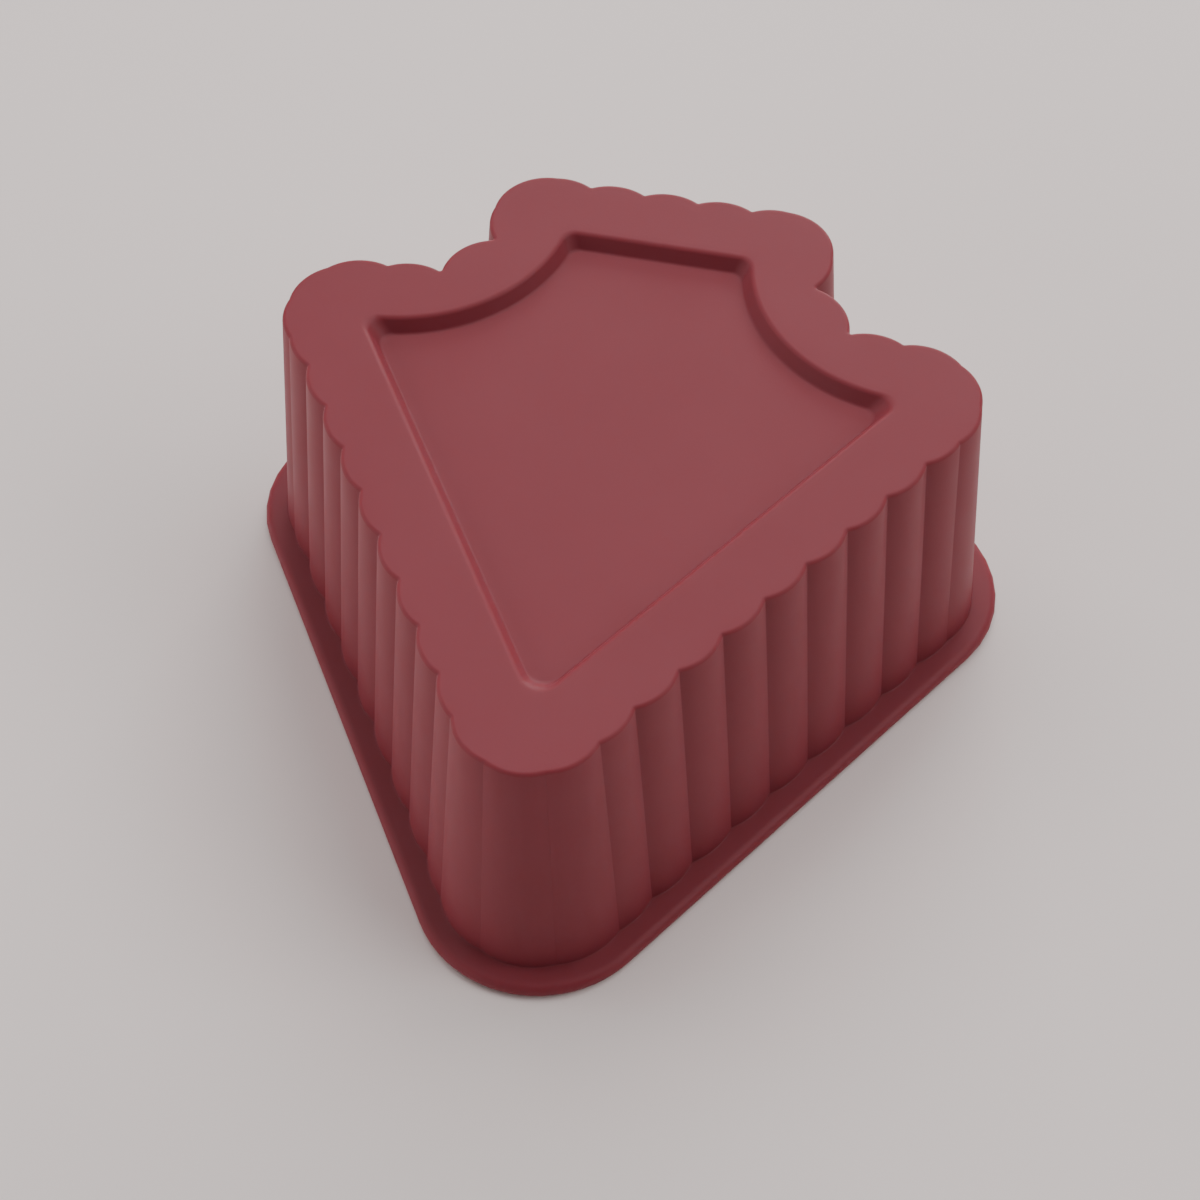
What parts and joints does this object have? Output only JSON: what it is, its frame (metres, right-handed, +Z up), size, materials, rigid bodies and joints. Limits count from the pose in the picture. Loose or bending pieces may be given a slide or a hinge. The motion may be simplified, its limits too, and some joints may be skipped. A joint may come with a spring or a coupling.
{
  "type": "resin casting mould",
  "caption": "Flexible shield-shaped casting mould with a fluted drafted wall, a flat rim flange and a sunk panel in its closed base, standing on its open rim.",
  "frame": {"origin": "middle of the footprint, on the surface that the open rim stands on", "axes": "+Z up, away from the open rim towards the closed base; +Y along the line of symmetry, from the pointed end to the flat end; +X across"},
  "size_m": [0.0962, 0.0996, 0.0382],
  "materials": {
    "silicone": "satin"
  },
  "bodies": {
    "root": {"mould_body": "silicone"}
  },
  "joints": []
}
